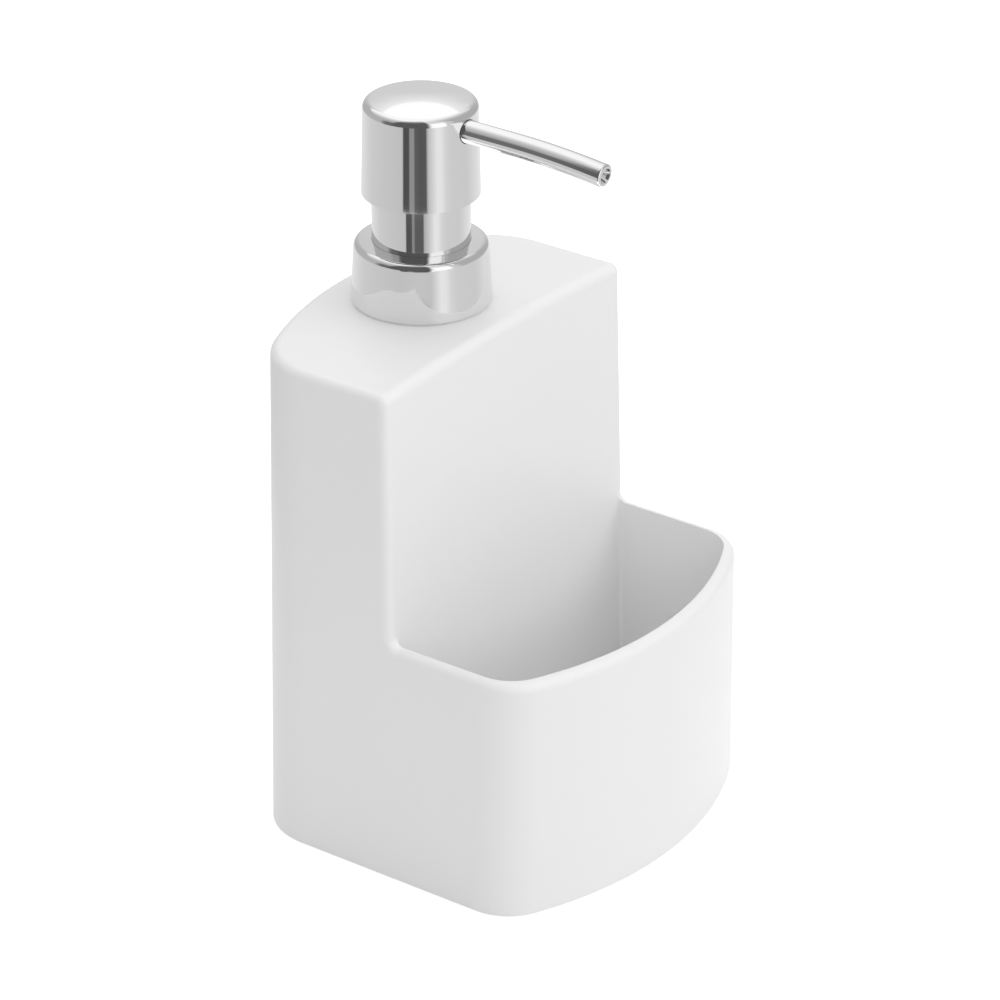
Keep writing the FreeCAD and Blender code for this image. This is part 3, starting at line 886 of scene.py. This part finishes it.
@dataclass
class CaddyBody(SubAssembly):
    """The white body with its base plate and feet, and the thread on the tank's neck."""

    nodes: tuple[str, ...] = ("body_shell", "base_plate", "foot_front_left", "foot_front_right",
                              "foot_back_left", "foot_back_right")
    casts_shadow: bool = True
    axis_y: float = PUMP_AXIS_Y
    neck_radius: float = 13.0 * MM
    thread_low: float = 131.6 * MM
    thread_rise: float = 0.3 * MM
    thread_sink: float = 0.3 * MM
    thread_foot: float = 1.5 * MM
    thread_crest: float = 0.7 * MM
    thread_pitch: float = 2.7 * MM
    thread_turns: float = 2.2
    run_out_turns: float = 0.12
    steps_per_turn: int = 160

    def neck_thread(self) -> bpy.types.Object:
        """Makes the low ridge of the neck's thread, which fades into the wall at both ends.

        At u turns the ridge's middle has the angle 2 pi u and the height low + pitch u. Its section is a
        trapezoid with the foot inside the wall. The section is scaled about its foot by the end share,
        which climbs from 0 to 1 over the run-out at each end.

        Returns:
            The ridge.
        """
        turns = np.linspace(0.0, self.thread_turns, int(self.thread_turns * self.steps_per_turn) + 1)
        share = ramp(np.minimum(turns, self.thread_turns - turns), self.run_out_turns)[:, None]
        foot = self.neck_radius - self.thread_sink
        depth = self.thread_sink + self.thread_rise
        out = foot + share * np.array([0.0, depth, depth, 0.0])
        widths = np.array([-self.thread_foot, -self.thread_crest, self.thread_crest, self.thread_foot])
        across = share * widths / 2
        angle = (2 * math.pi * turns)[:, None]
        height = self.thread_low + self.thread_pitch * turns[:, None] + across
        points = np.stack([out * np.sin(angle), self.axis_y - out * np.cos(angle), height], axis=-1)
        faces = grid_faces(len(turns), len(widths))
        return mesh_piece("neck_thread", points.reshape(-1, 3), faces)

    def details(self, materials: dict[Slot, bpy.types.Material]) -> list[bpy.types.Object]:
        """Makes the neck's thread.

        Args:
            materials: The finishes by slot.

        Returns:
            The new pieces.
        """
        return [finished(self.neck_thread(), materials[Slot.WHITE], "container")]


class Closure(SubAssembly):
    """The screw cap with the chrome collar and sleeve that turn with it."""

    nodes: tuple[str, ...] = ("closure_cap", "collar_cover", "guide_sleeve")


class PumpUnit(SubAssembly):
    """The still parts of the pump: gasket, housing, guide, ball cage, lower ball and suction tube."""

    nodes: tuple[str, ...] = ("neck_gasket", "pump_housing", "stem_guide", "ball_cage", "inlet_ball",
                              "dip_tube")


@dataclass
class Plunger(SubAssembly):
    """The moving parts inside the pump: stem, upper ball and piston, and the spring that they press."""

    nodes: tuple[str, ...] = ("pump_stem", "outlet_ball", "piston_seal", "return_spring")
    wire_radius: float = 0.45 * MM
    turns: int = 7
    end_pitch: float = 1.45 * MM
    stroke: float = 11.0 * MM
    steps_per_turn: int = 56
    end_rings: int = 4
    wire_sides: int = 14
    sharp_deg: float = 60.0

    def spring_coil(self) -> bpy.types.Object:
        """Makes the return spring as one wire with closed ends.

        After u of N turns the wire's middle has the angle 2 pi u and the height
        low + end_pitch u + b (u - sin(2 pi u / N) N / (2 pi)), with b so that the last turn ends at the
        top. A ring point at the angle c lies at wire radius times (cos c outwards + sin c square to the
        wire and to outwards). At both ends the wire is rounded: its radius follows the root of
        1 - (1 - s)^2, where s is the distance from the end over the wire's radius, up to 1.

        Returns:
            The spring.
        """
        low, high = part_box("return_spring")
        axis = (low + high) / 2
        radius = (high.x - low.x) / 2 - self.wire_radius
        start = low.z + self.wire_radius
        rise = high.z - low.z - 2 * self.wire_radius
        around_once = 2 * math.pi * radius
        ends = np.linspace(0.0, self.wire_radius, self.end_rings + 1)[:-1] / around_once
        inner = np.linspace(ends[-1], self.turns - ends[-1], self.turns * self.steps_per_turn)
        turn = np.concatenate([ends[:-1], inner, self.turns - ends[:-1][::-1]])
        whole = 2 * math.pi / self.turns
        opening = rise / self.turns - self.end_pitch
        height = start + self.end_pitch * turn + opening * (turn - np.sin(whole * turn) / whole)
        climb = self.end_pitch + opening * (1 - np.cos(whole * turn))
        angle = 2 * math.pi * turn
        outward = np.stack([np.cos(angle), np.sin(angle), 0 * angle], axis=1)
        ahead = np.stack([-around_once * np.sin(angle), around_once * np.cos(angle), climb], axis=1)
        ahead /= np.linalg.norm(ahead, axis=1)[:, None]
        square = np.cross(ahead, outward)
        middle = np.array([axis.x, axis.y, 0.0]) + radius * outward
        middle[:, 2] += height
        from_end = ramp(np.minimum(turn, self.turns - turn) * around_once, self.wire_radius)
        ring_radius = self.wire_radius * np.sqrt(1 - (1 - from_end) ** 2)
        around = np.linspace(0.0, 2 * math.pi, self.wire_sides, endpoint=False)[None, :, None]
        ring = np.cos(around) * outward[:, None, :] + np.sin(around) * square[:, None, :]
        points = middle[:, None, :] + ring_radius[:, None, None] * ring
        faces = grid_faces(len(turn), self.wire_sides)
        return mesh_piece("return_spring_coil", points.reshape(-1, 3), faces, self.sharp_deg)

    def details(self, materials: dict[Slot, bpy.types.Material]) -> list[bpy.types.Object]:
        """Makes the return spring.

        Args:
            materials: The finishes by slot.

        Returns:
            The new pieces.
        """
        coil = finished(self.spring_coil(), materials[Slot.SPRING], "pump_unit",
                        ("return_spring",))
        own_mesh(coil)
        return [coil]


class PumpHead(SubAssembly):
    """The chrome head with its insert and spout."""

    nodes: tuple[str, ...] = ("head_shell", "head_core", "spout_tube")


def main() -> None:
    """Builds the finishes, the pieces and the studio in order."""
    surface = moulded_surface_group()
    materials = {finish.slot: finish.build(surface) for finish in FINISHES}
    for assembly in (CaddyBody(), Closure(), PumpUnit(), Plunger(), PumpHead()):
        assembly.build(materials)
    Camera().build()
    Studio().build()


if __name__ == "__main__":
    logging.basicConfig(level=logging.INFO)
    main()
